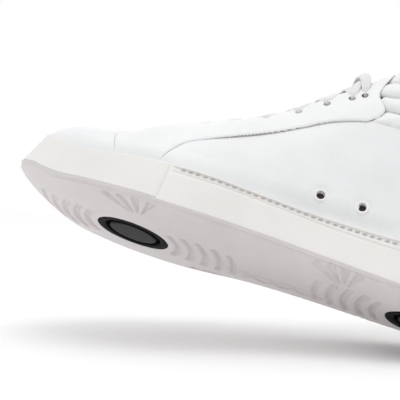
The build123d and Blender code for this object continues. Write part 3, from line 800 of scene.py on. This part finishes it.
def rolled(distance, proud, radius):
    """Height of a panel whose cut edge stands up, with its face rounded off beside it."""
    share = np.clip(distance / radius, 0, 1)
    return proud * (0.72 + 0.28 * np.sqrt(1 - (1 - share) ** 2))


def waves(place, size, amount):
    """Slow, shallow unevenness of stretched leather."""
    x, y, z = (place / size).T
    return amount * (np.sin(x * 1.7 + 0.8 * z) * np.sin(z * 1.3 - 0.6 * y + 1.1)
                     + 0.5 * np.sin(2.9 * x - 1.9 * z + 0.7 * y))


def top_place(x, y):
    """Where the upper's top is x along and y across, as (t, angle)."""
    low, high = 0.5, LAST - 0.01
    for _ in range(40):
        t = (low + high) / 2
        place = upper_point(t, float(angle_at(np.float64(t), y)))
        if place[0] < x:
            low = t
        else:
            high = t
    return t, float(angle_at(np.float64(t), y))


def eyelet_y(x):
    return float(read(THROAT, x)) + EYELET_SET


EYELETS = {(i, side): top_place(x, side * eyelet_y(x))
           for i, x in enumerate(LACE_X) for side in (-1, 1)}

def side_places(points, side):
    """(t, angle) on one side of the upper for side-view points (x, z)."""
    t = np.linspace(0.3, LAST - 0.05, 90)
    angle = side * np.linspace(0.15, math.pi - 0.05, 90)
    guess = np.stack(np.meshgrid(t, angle, indexing="ij"), -1).reshape(-1, 2)
    seen = upper_point(guess[:, 0], guess[:, 1])[:, [0, 2]]
    found = np.array([guess[((seen - p) ** 2).sum(1).argmin()] for p in points])
    for _ in range(15):
        here = upper_point(found[:, 0], found[:, 1])[:, [0, 2]]
        by_t = (upper_point(found[:, 0] + 0.01, found[:, 1])[:, [0, 2]] - here) / 0.01
        by_a = (upper_point(found[:, 0], found[:, 1] + 0.005)[:, [0, 2]] - here) / 0.005
        error = points - here
        area = by_t[:, 0] * by_a[:, 1] - by_t[:, 1] * by_a[:, 0]
        area = np.where(np.abs(area) < 1, np.sign(area + 1e-9), area)
        dt = (error[:, 0] * by_a[:, 1] - error[:, 1] * by_a[:, 0]) / area
        da = (by_t[:, 0] * error[:, 1] - by_t[:, 1] * error[:, 0]) / area
        found[:, 0] = np.clip(found[:, 0] + np.clip(dt, -0.4, 0.4), 0.05, LAST - 0.05)
        found[:, 1] += np.clip(da, -0.15, 0.15)
    return found


VENT_PLACES = [(side, side_places(np.array([vent]), side)[0]) for side in (-1, 1)
               for vent in VENTS]


def away_from(places, radius):
    """Distance of surface points outside round holes at (t, angle) places."""
    centres = [upper_point(t, angle) for t, angle in places]

    def field(params, place):
        return np.min([np.linalg.norm(place - c, axis=1) for c in centres], axis=0) - radius
    return field


def build_vamp():
    def height(params, place):
        return waves(place, 19.0, 0.18)
    fields = [lambda p, place: ahead_of_vamp(place) + UNDERLAP,
              lambda p, place: above_sole(place)]
    sheet = patch((0.0, 6.2), (-2.3, 2.3), 260, 360)
    piece = panel("toe_vamp", sheet, fields, height, LEATHER)
    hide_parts("vamp")
    return [piece]


def stay_edges(params, place):
    """Distance inside the overlay's outline."""
    return np.minimum.reduce([ahead_of_rear(place), -ahead_of_vamp(place),
                              off_throat(params, place)])


def build_stay(name, side):
    def height(params, place):
        edge = stay_edges(params, place)
        holes = away_from(list(EYELETS.values()), EYELET_HOLE)(params, place)
        soft = ramp(edge, 2.0, 12.0)
        return rolled(edge, OVERLAY_PROUD, EDGE_RADIUS) - 0.5 * (1 - ramp(holes, 0, 1.6)) \
            + waves(place, 17.0, 0.22) * soft
    mine = [place for (_, s), place in EYELETS.items() if s == side]
    fields = [lambda p, place: ahead_of_rear(place),
              lambda p, place: -ahead_of_vamp(place),
              off_throat,
              lambda p, place: above_sole(place),
              lambda p, place: COLLAR_TOP + 1.0 - place[:, 2] + 1.5 * np.sin(place[:, 1] / 6),
              away_from(mine, EYELET_HOLE)]
    limits = (0.1, 2.3) if side > 0 else (-2.3, -0.1)
    sheet = patch((3.4, LAST - 0.1), limits, 620, 330)
    piece = panel(name, sheet, fields, height, OVERLAY_LEATHER)
    return piece


def build_quarter(name, side):
    vents = [place for s, place in VENT_PLACES if s == side]

    def height(params, place):
        dip = away_from(vents, VENT_HOLE)(params, place)
        return waves(place, 23.0, 0.35) - 0.5 * (1 - ramp(dip, 1.5, 5.0))
    fields = [lambda p, place: -ahead_of_rear(place) + UNDERLAP,
              lambda p, place: above_sole(place),
              lambda p, place: 101.0 - place[:, 2],
              away_from(vents, VENT_HOLE)]
    limits = (0.2, math.pi) if side > 0 else (-math.pi, -0.2)
    sheet = patch((3.6, LAST - 1.0), limits, 460, 360)
    piece = panel(name, sheet, fields, height, LEATHER)
    return piece


def t_at_level(angle, z):
    """The station count where the upper reaches height z at each angle."""
    angle = np.asarray(angle, float)
    z = np.broadcast_to(z, angle.shape)
    low = np.full(angle.shape, 0.2)
    high = np.full(angle.shape, LAST + 0.0)
    for _ in range(30):
        t = (low + high) / 2
        short = upper_point(t, angle)[..., 2] < z
        low = np.where(short, t, low)
        high = np.where(short, high, t)
    return (low + high) / 2


def stay_end_angle(z, side):
    """The angle where the overlay's rear edge is at height z, on one side."""
    line = dense(STAY_REAR)
    x = np.interp(z, line[:, 1], line[:, 0])
    return abs(side_places(np.array([[x, z]]), side)[0][1])


def build_rib(number, low, high):
    """One padded band round the ankle, from stay to stay round the back."""
    middle = (low + high) / 2
    start = stay_end_angle(middle, 1) - 0.02
    end = 2 * math.pi - (stay_end_angle(middle, -1) - 0.02)
    columns = 340
    rows = 32
    angles = np.linspace(start, end, columns)
    line = dense(STAY_REAR)
    points = []
    for share in np.linspace(0, 1, rows):
        z = low + (high - low) * share
        x_edge = float(np.interp(z, line[:, 1], line[:, 0]))
        t = t_at_level(angles, z)
        base = upper_point(t, angles)
        across = 2 * share - 1
        pucker = 0.35 * np.sin(angles * 47 + number * 2.1) + 0.25 * np.sin(angles * 83 + number)
        swell = (1 - abs(across) ** 2.3) ** 0.55
        front = ramp(base[:, 0] - x_edge, -3.0, 7.0) ** 0.5
        edge_share = 1 - swell
        proud = -0.4 + (3.4 * swell + pucker * edge_share * 1.4) * front
        proud = proud + waves(base, 14.0, 0.22) * swell
        points.append(base + upper_normal(t, angles) * proud[:, None])
    inner_rows = []
    for share in np.linspace(1, 0, 6):
        t = t_at_level(angles, low + (high - low) * (0.04 + 0.92 * share))
        inner_rows.append(upper_at(t, angles, -1.2))
    grid = np.array(points + inner_rows)
    piece = grid_object(f"collar_pad_{number}", grid, WHITE_LEATHER, wrap_rows=True)
    close_ends(piece)
    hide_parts(f"collar_rib_{number}")
    return piece


def close_ends(piece):
    """Closes the open ends of a tube-like piece."""
    mesh = bmesh.new()
    mesh.from_mesh(piece.data)
    rims = [e for e in mesh.edges if e.is_boundary]
    bmesh.ops.holes_fill(mesh, edges=rims, sides=0)
    mesh.to_mesh(piece.data)
    mesh.free()


def build_collar_lining():
    """The top line rolls over, and the lining runs down inside the shoe."""
    start = stay_end_angle(140, 1) - 0.42
    end = 2 * math.pi - (stay_end_angle(140, -1) - 0.42)
    columns = 260
    angles = np.linspace(start, end, columns)
    rows = []
    for turn in np.linspace(0, math.pi, 12):
        depth = -1.4 + 4.6 * (1 - math.cos(turn))
        rise = 3.0 * math.sin(turn)
        t = t_at_level(angles, COLLAR_TOP - 2.2)
        place = upper_at(t, angles, -depth)
        pucker = 0.2 * np.sin(angles * 59) * math.sin(turn)
        place[:, 2] += rise + pucker
        rows.append(place)
    for z, depth in ((141, 8.2), (133, 8.6), (122, 8.6), (110, 8.2), (98, 7.4), (88, 6.4),
                     (76, 5.4), (62, 5.0), (48, 4.8), (36, 4.8), (34, 4.0), (46, 4.0),
                     (60, 4.2), (76, 4.6)):
        t = np.clip(t_at_level(angles, z), 2.5, LAST)
        rows.append(upper_at(t, angles, -depth))
    piece = grid_object("collar_lining_pad", np.array(rows), LINING_CLOTH)
    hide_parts("collar_lining", "quarter_lining", "vamp_lining")
    return piece


def build_heel_patch():
    """The overlay on the outside of the back, with a rounded top."""
    def edge(place):
        rear = place[:, 0] - 121.0 - 0.10 * (place[:, 2] - 40)
        return np.minimum(rear, 97.0 - place[:, 2] - (place[:, 1] / 15.0) ** 2)

    def height(params, place):
        return rolled(edge(place), 1.1, 1.3) + waves(place, 15.0, 0.15)
    fields = [lambda p, place: edge(place), lambda p, place: above_sole(place)]
    sheet = patch((9.0, LAST - 1.0), (1.6, 2 * math.pi - 1.6), 240, 300)
    piece = panel("heel_overlay", sheet, fields, height, OVERLAY_LEATHER)
    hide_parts("heel_patch")
    return piece


TONGUE_DEPTH = 4.6


def build_tongue():
    """The padded tongue: a closed pad under the lacing, with a rounded top."""
    first, last = 4.15, LAST - 0.1
    rows = 220
    around = 96
    turn = np.linspace(0, 2 * math.pi, around, endpoint=False)
    grid = []
    for t in np.linspace(first, last, rows):
        share = (t - first) / (last - first)
        half = 14.0 + 8.5 * ramp(share, 0.1, 0.9)
        end = np.clip((t - (last - 1.1)) / 1.1, 0, 1)
        start = np.clip(((first + 0.5) - t) / 0.5, 0, 1)
        half *= math.sqrt(max(0.0, 1 - end ** 2.6)) * (1 - 0.35 * start ** 2)
        thick = 2.5 * math.sqrt(max(0.0, 1 - end ** 4)) * (1 - 0.6 * start ** 2)
        y = half * signed_power(np.cos(turn), 0.8)
        depth = TONGUE_DEPTH - thick * signed_power(np.sin(turn), 0.7)
        quilt = 0.25 * math.sin(t * 5.0)
        depth = depth - quilt * np.clip(np.sin(turn), 0, 1) * (1 - end)
        angle = angle_at(np.full(around, t), y)
        grid.append(upper_at(np.full(around, t), angle, -depth))
    grid = np.array(grid)
    piece = grid_object("tongue_pad", grid, WHITE_LEATHER, wrap_columns=True)
    close_ends(piece)
    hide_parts("tongue_shell", "tongue_foam", "tongue_lining")
    return piece


# ---- laces --------------------------------------------------------------------------
LACE_HALF = 3.3
LACE_THICK = 0.75
LACE_CUP = 0.35
LACE_NARROW = 0.62


def ribbon(path, ups):
    """A flat woven lace along a path, with its edges rounded and its ends drawn in."""
    count = len(path)
    run = unit(np.gradient(path, axis=0))
    across = unit(np.cross(ups, run))
    up = unit(np.cross(run, across))
    turn = np.linspace(0, 2 * math.pi, 20, endpoint=False)
    share = np.linspace(0, 1, count)
    ends = np.minimum(share, 1 - share)
    width = LACE_HALF * (LACE_NARROW + (1 - LACE_NARROW) * ramp(ends, 0.0, 0.14))
    wide = signed_power(np.cos(turn), 0.75)
    high = LACE_THICK * signed_power(np.sin(turn), 0.75) - LACE_CUP * wide ** 2
    return np.array([path[k] + across[k] * (width[k] * wide)[:, None] + up[k] * high[:, None]
                     for k in range(count)])


def lace_path(start, end, lift, sag=0.0, steps=44):
    """From one eyelet to another over the throat: up out of the hole, across, down again."""
    (x0, y0), (x1, y1) = start, end
    points, ups = [], []
    for s in np.linspace(0, 1, steps):
        x, y = x0 + (x1 - x0) * s, y0 + (y1 - y0) * s
        t, angle = top_place(x, y)
        edge = min(s, 1 - s)
        height = -2.2 + (2.2 + 2.9) * float(ramp(edge, -0.03, 0.055))
        height += lift * float(ramp(edge, 0.12, 0.42)) + sag * 4 * s * (1 - s)
        normal = upper_normal(t, angle)
        points.append(upper_point(t, angle) + normal * height)
        ups.append(normal)
    return np.array(points), np.array(ups)


def build_laces():
    pieces = []
    places = {(i, side): (x, side * eyelet_y(x)) for i, x in enumerate(LACE_X)
              for side in (-1, 1)}
    parts = []
    path, ups = lace_path(places[0, -1], places[0, 1], 0.2)
    parts.append(ribbon(path, ups))
    for i in range(1, len(LACE_X)):
        slack = 5.0 if i == len(LACE_X) - 1 else 0.0
        path, ups = lace_path(places[i, 1], places[i - 1, -1], 0.1, slack * 0.5)
        parts.append(ribbon(path, ups))
        path, ups = lace_path(places[i, -1], places[i - 1, 1], 1.9, slack)
        parts.append(ribbon(path, ups))
    for number, grid in enumerate(parts):
        piece = grid_object(f"lace_run_{number:02d}", grid, LACE_CLOTH, wrap_columns=True)
        close_ends(piece)
        pieces.append(piece)
    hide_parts("lace")
    return pieces


# ---- trim ---------------------------------------------------------------------------
def build_vents():
    pieces = []
    profile = [(2.4, -2.6), (2.4, 0.6), (2.6, 1.3), (3.1, 1.75), (3.8, 1.6), (4.3, 1.0),
               (4.4, 0.3), (4.3, -0.6), (3.0, -0.7), (3.0, -2.6)]
    for number, (side, (t, angle)) in enumerate(VENT_PLACES):
        origin = upper_at(t, angle, -0.35)
        piece = lathe(f"vent_ring_{number}", profile, origin, upper_normal(t, angle), ENAMEL,
                      steps=40)
        # a near-black disc set deep in each vent hole: painted shade for the hole's dark inside
        hole_shade = lathe(f"vent_hole_shade_{number}", [(2.45, -2.0), (1.2, -2.15), (0.01, -2.2)], origin,
                        upper_normal(t, angle), VENT_HOLE_SHADE, steps=40)
        pieces += [piece, hole_shade]
    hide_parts("vent_grommets")
    return pieces


def stitch_parts(points, runs, ups, length=2.3, radius=0.36):
    """Small raised threads, each lying along its seam."""
    parts = []
    turn = np.linspace(0, 2 * math.pi, 6, endpoint=False)
    for point, run, up in zip(points, runs, ups):
        run = unit(run)
        side = unit(np.cross(up, run))
        up = np.cross(run, side)
        rows = []
        for share in (-1, -0.75, -0.25, 0.25, 0.75, 1):
            size = radius * math.sqrt(max(0.02, 1 - abs(share) ** 3))
            centre = point + run * (share * length / 2)
            rows.append(centre + side * size * np.cos(turn)[:, None]
                        + up * size * np.sin(turn)[:, None])
        rows = np.array(rows)
        faces = [list(f) for f in grid_faces(6, 6, wrap_columns=True)]
        faces += [list(range(5, -1, -1)), list(range(30, 36))]
        parts.append((rows.reshape(-1, 3), faces))
    return parts


def even_points(line, spacing):
    """Points evenly spaced along a dense line."""
    steps = np.linalg.norm(np.diff(line, axis=0), axis=1)
    along = np.concatenate([[0], np.cumsum(steps)])
    wanted = np.arange(spacing / 2, along[-1], spacing)
    return np.stack([np.interp(wanted, along, line[:, k]) for k in range(line.shape[1])], 1)


THREAD_PROUD = 1.5


def seam_stitches(line, offset, side):
    """Stitches beside a seam, offset to its left, on one side of the upper."""
    run = unit(np.gradient(line, axis=0))
    beside = line + np.stack([-run[:, 1], run[:, 0]], 1) * offset
    points = even_points(beside, 3.3)
    lip = read(LIP_TOP, points[:, 0])
    points = points[(points[:, 1] > lip + 1) & (points[:, 1] < COLLAR_TOP - 3)]
    if len(points) < 3:
        return []
    found = side_places(points, side)
    off = np.abs(upper_point(found[:, 0], found[:, 1])[:, [0, 2]] - points).max(1)
    centres = upper_at(found[:, 0], found[:, 1], THREAD_PROUD)
    runs = np.gradient(centres, axis=0)
    ups = upper_normal(found[:, 0], found[:, 1])
    keep = off < 0.8
    return stitch_parts(centres[keep], runs[keep], ups[keep])


def throat_stitches(side, offset):
    points = []
    for x in np.arange(-70, 52, 3.1):
        y = side * (float(read(THROAT, x)) + offset)
        points.append(top_place(x, y))
    found = np.array(points)
    centres = upper_at(found[:, 0], found[:, 1], THREAD_PROUD)
    return stitch_parts(centres, np.gradient(centres, axis=0),
                        upper_normal(found[:, 0], found[:, 1]))


def build_stitching():
    parts = []
    for side in (-1, 1):
        for offset in (2.2, 4.6):
            parts += seam_stitches(dense(QUARTER_SEAM), offset, side)
            parts += seam_stitches(VAMP_LINE, -offset, side)
        parts += seam_stitches(dense(STAY_REAR), 2.2, side)
        parts += throat_stitches(side, 2.0)
    upper = join_meshes("upper_stitching", parts, THREAD)

    u = np.linspace(0, OUTLINE_TURNS, 3000)
    x = outline_point(u)[:, 0]
    lip, crease = read(LIP_TOP, x), read(LIP_CREASE, x)
    z = crease + (lip - crease) * 0.52
    line = wall_point(u, z, 0.95)
    points = even_points(line[x > SEAM_X + 6], 4.4)
    runs = np.gradient(points, axis=0)
    runs[:, 2] += 0.9
    ups = unit((points - np.array([0.0, HEEL_TIP_Y, 0.0])) * [0.02, 1.0, 0.0])
    wall = join_meshes("sidewall_stitching", stitch_parts(points, runs, ups, 3.0, 0.42), THREAD)
    return [upper, wall]


def build_footbed():
    """The removable insole: a cupped, cloth-covered pad that follows the shoe's plan."""
    low, high = (np.array(corner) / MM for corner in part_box("footbed"))
    ring = np.linspace(0, OUTLINE_TURNS, 160, endpoint=False)
    inward, _ = outline_inward(ring)
    edge = outline_point(ring) + inward * FOOTBED_INSET
    edge[:, 0] = np.clip(edge[:, 0], low[0] + 1, high[0] - 1)
    spine = np.column_stack([np.clip(edge[:, 0], low[0] + 18, high[0] - 22),
                             width_at(edge[:, 0])[0]])
    rows = []
    floor = 14.5 + 8.0 * ramp(edge[:, 0], -60, 110)
    for share in (1.0, 0.985, 0.96, 0.9, 0.8, 0.65, 0.5, 0.35, 0.2, 0.05):
        flat = spine + (edge - spine) * share
        rim = 2.2 * ramp(np.full(160, share), 0.7, 1.0) * ramp(flat[:, 0], -20, 60)
        drop = 0.9 * (share > 0.98)
        rows.append(np.column_stack([flat, floor + FOOTBED_HEIGHTS[1] + rim - drop]))
    for share in (0.05, 0.5, 0.95, 1.0):
        flat = spine + (edge - spine) * share
        rows.insert(0, np.column_stack([flat, floor + FOOTBED_HEIGHTS[0]]))
    piece = grid_object("footbed_pad", np.array(rows)[::-1], LINING_CLOTH, wrap_columns=True)
    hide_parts("footbed")
    return piece


# ---- the CAD pieces that stay, with their materials -----------------------------------
KEPT = {
    "heel_counter": STIFFENER, "toe_puff": STIFFENER, "collar_foam": FOAM, "midsole_foam": FOAM,
    "insole_board": BOARD, "shank_plate": SHANK, "vent_washers": ENAMEL,
}


def finish_kept_nodes():
    for node, material in KEPT.items():
        mesh = bpy.data.objects[node].data
        mesh.materials.clear()
        mesh.materials.append(material)


# ---- camera, floor and light --------------------------------------------------------
CAMERA_PLACE = (0.0973, -0.6322, -0.1986)
CAMERA_RIGHT = (0.9331, 0.0669, 0.3533)
CAMERA_DOWN = (0.3034, 0.3811, -0.8733)
CAMERA_FORWARD = (-0.1931, 0.9221, 0.3353)
LENS = 101.0
SENSOR = 36.0


def build_camera():
    data = bpy.data.cameras.new("camera")
    data.lens = LENS
    data.sensor_width = SENSOR
    camera = add_object("camera", data)
    right, down, forward = Vector(CAMERA_RIGHT), Vector(CAMERA_DOWN), Vector(CAMERA_FORWARD)
    turn = Matrix((right, -down, -forward)).transposed().to_4x4()
    camera.matrix_world = Matrix.Translation(CAMERA_PLACE) @ turn
    bpy.context.scene.camera = camera


def floor_height(x, y):
    """A pale board that the shoe's raised toe leans over, touching near the heel."""
    return -0.056 + 0.31 * x + 0.50 * y


def build_floor():
    corners = [(-1.6, -2.4), (0.16, -2.4), (0.16, 0.9), (-1.6, 0.9)]
    points = [(x, y, floor_height(x, y)) for x, y in corners]
    mesh = bpy.data.meshes.new("floor")
    mesh.from_pydata(points, [], [(0, 1, 2, 3)])
    paper = mottled("floor_paper", (0.925, 0.925, 0.925), (0.94, 0.94, 0.94), 0.9, 3.0)
    mesh.materials.append(paper[0])
    add_object("floor", mesh)


def area_light(name, place, target, size, power):
    data = bpy.data.lights.new(name, "AREA")
    data.size = size
    data.energy = power
    lamp = add_object(name, data)
    lamp.location = place
    lamp.rotation_euler = (Vector(target) - Vector(place)).to_track_quat("-Z", "Y").to_euler()


def build_light():
    world = bpy.data.worlds.new("studio")
    world.use_nodes = True
    tree = world.node_tree
    coord = add_node(tree, "ShaderNodeTexCoord")
    split = add_node(tree, "ShaderNodeSeparateXYZ")
    shade = add_node(tree, "ShaderNodeValToRGB")
    shade.color_ramp.elements[0].position = 0.30
    shade.color_ramp.elements[0].color = (0.62, 0.61, 0.615, 1)
    shade.color_ramp.elements[1].position = 0.56
    shade.color_ramp.elements[1].color = (1, 1, 1, 1)
    spread = add_node(tree, "ShaderNodeMapRange")
    spread.inputs["From Min"].default_value = -1.0
    tree.links.new(coord.outputs["Generated"], split.inputs["Vector"])
    tree.links.new(split.outputs["Z"], spread.inputs["Value"])
    tree.links.new(spread.outputs["Result"], shade.inputs["Fac"])
    tree.links.new(shade.outputs["Color"], tree.nodes["Background"].inputs["Color"])
    tree.nodes["Background"].inputs["Strength"].default_value = 1.0
    bpy.context.scene.world = world
    bpy.context.scene.view_settings.view_transform = "Standard"
    area_light("key", (-0.35, -0.6, 0.95), (0, 0, 0.05), 0.6, 3.0)


# ---- the whole shoe -----------------------------------------------------------------
def main():
    build_camera()
    build_floor()
    build_light()
    finish_kept_nodes()
    shoe = build_sole() + build_vamp()
    for name, side in (("medial", -1), ("lateral", 1)):
        overlay = build_stay(f"{name}_overlay", side)
        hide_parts(f"{name}_eyestay")
        quarter = build_quarter(f"{name}_quarter_leather", side)
        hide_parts(f"{name}_quarter")
        shoe += [overlay, quarter]
    for number, (low, high) in enumerate(zip(RIB_LEVELS, RIB_LEVELS[1:]), start=1):
        shoe.append(build_rib(number, low, min(high, COLLAR_TOP - 0.5)))
    shoe += [build_collar_lining(), build_heel_patch()]
    shoe += build_laces() + build_vents() + build_stitching()
    for piece in shoe:
        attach(piece, "shoe")
    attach(build_footbed(), "footbed")
    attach(build_tongue(), "tongue")


main()
